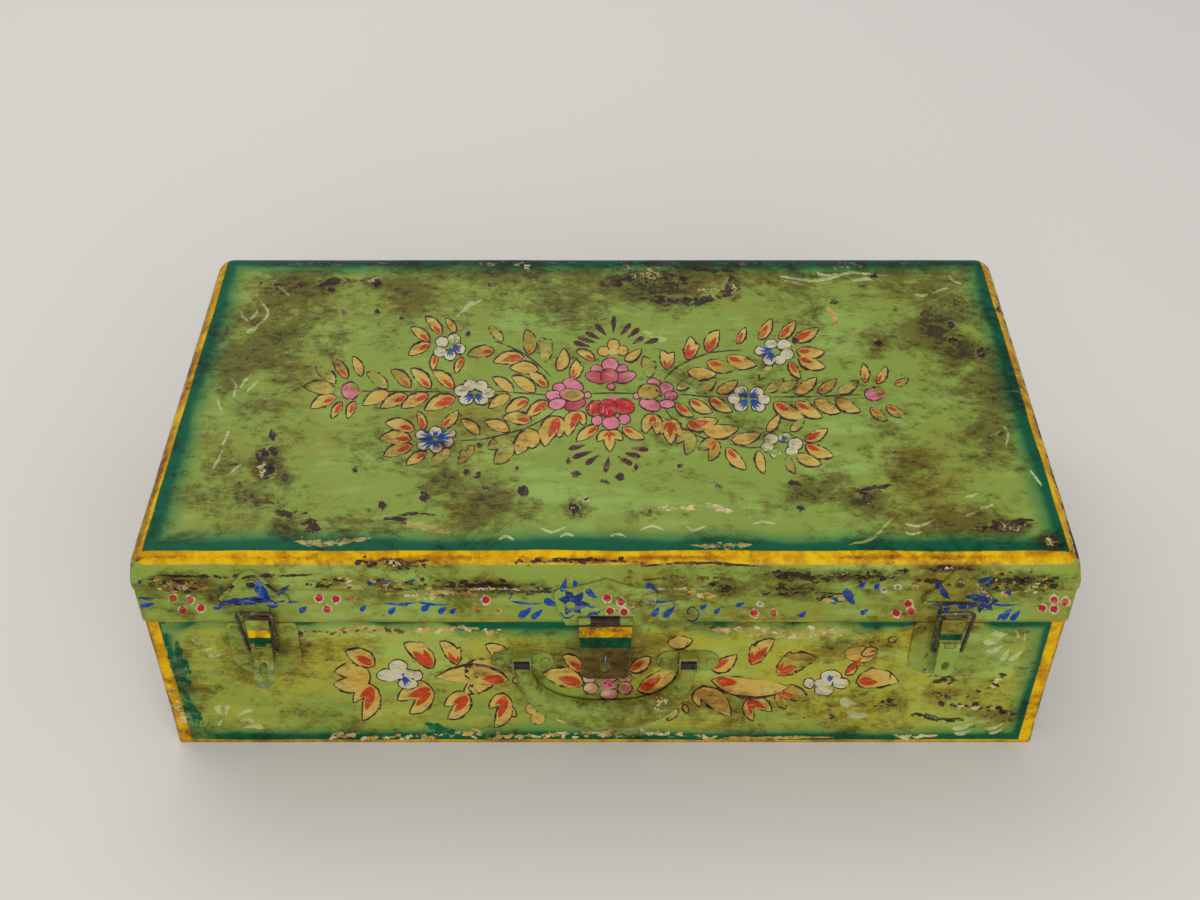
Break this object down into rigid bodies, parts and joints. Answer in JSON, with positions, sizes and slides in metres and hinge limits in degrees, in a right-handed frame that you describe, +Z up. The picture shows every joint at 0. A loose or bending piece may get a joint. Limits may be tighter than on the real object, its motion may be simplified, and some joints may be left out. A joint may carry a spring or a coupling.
{
  "type": "small tin trunk",
  "caption": "Small sheet-metal trunk with hinged lid, draw latches, hasp and staple and a drop handle, painted with folk flowers.",
  "frame": {"origin": "centre of the underside", "axes": "+X to the right along the length as seen from the front, +Y to the back, +Z up"},
  "size_m": [0.6048, 0.36, 0.185],
  "materials": {
    "lid_paint": "worn gloss",
    "base_paint": "worn gloss",
    "fitting_paint": "worn gloss",
    "dark_steel": "tarnished",
    "bare_steel": "worn"
  },
  "bodies": {
    "base": {"base_wall": "base_paint", "base_floor": "base_paint", "staple": "dark_steel", "staple_plate": "fitting_paint", "staple_plate_rivets": "fitting_paint", "latch_plate_left": "fitting_paint", "latch_plate_rivets_left": "fitting_paint", "latch_lever_pin_left": "dark_steel", "latch_plate_right": "fitting_paint", "latch_plate_rivets_right": "fitting_paint", "latch_lever_pin_right": "dark_steel", "handle_bracket_left": "fitting_paint", "handle_pin_left": "dark_steel", "handle_bracket_right": "fitting_paint", "handle_pin_right": "dark_steel", "handle_bracket_rivets": "fitting_paint", "hinge_base_leaf_left": "fitting_paint", "hinge_pin_left": "dark_steel", "hinge_base_leaf_right": "fitting_paint", "hinge_pin_right": "dark_steel", "hinge_base_rivets": "fitting_paint"},
    "lid": {"lid_top": "lid_paint", "lid_skirt": "lid_paint", "hasp_plate": "fitting_paint", "hasp_plate_rivets": "fitting_paint", "hasp_pin": "dark_steel", "keeper_left": "fitting_paint", "keeper_rivet_left": "fitting_paint", "hinge_lid_leaf_left": "fitting_paint", "keeper_right": "fitting_paint", "keeper_rivet_right": "fitting_paint", "hinge_lid_leaf_right": "fitting_paint", "hinge_lid_rivets": "fitting_paint"},
    "hasp": {"hasp_strap": "fitting_paint"},
    "handle": {"handle_grip": "fitting_paint"},
    "left_lever": {"latch_lever_left": "bare_steel"},
    "left_bail": {"latch_bail_left": "dark_steel"},
    "right_lever": {"latch_lever_right": "bare_steel"},
    "right_bail": {"latch_bail_right": "dark_steel"}
  },
  "joints": [
    {"name": "lid_hinge", "type": "hinge", "parent": "base", "child": "lid", "pos_m": [0, 0.1692, 0.127], "axis": [-1, 0, 0], "range_deg": [0, 100]},
    {"name": "hasp_swing", "type": "hinge", "parent": "lid", "child": "hasp", "pos_m": [0, -0.1702, 0.133], "axis": [-1, 0, 0], "range_deg": [-10, 150]},
    {"name": "handle_swing", "type": "hinge", "parent": "base", "child": "handle", "pos_m": [0, -0.1713, 0.0912], "axis": [-1, 0, 0], "range_deg": [0, 95]},
    {"name": "left_lever_swing", "type": "hinge", "parent": "base", "child": "left_lever", "pos_m": [-0.224, -0.174, 0.114], "axis": [-1, 0, 0], "range_deg": [0, 145]},
    {"name": "left_bail_swing", "type": "hinge", "parent": "left_lever", "child": "left_bail", "pos_m": [-0.224, -0.1707, 0.1043], "axis": [-1, 0, 0], "range_deg": [-164.5, 0]},
    {"name": "right_lever_swing", "type": "hinge", "parent": "base", "child": "right_lever", "pos_m": [0.224, -0.174, 0.114], "axis": [-1, 0, 0], "range_deg": [0, 145]},
    {"name": "right_bail_swing", "type": "hinge", "parent": "right_lever", "child": "right_bail", "pos_m": [0.224, -0.1707, 0.1043], "axis": [-1, 0, 0], "range_deg": [-164.5, 0]}
  ],
  "couplings": [
    {"joint": "left_bail_swing", "follows": "left_lever_swing", "ratio": -1.1},
    {"joint": "right_bail_swing", "follows": "right_lever_swing", "ratio": -1.1}
  ]
}
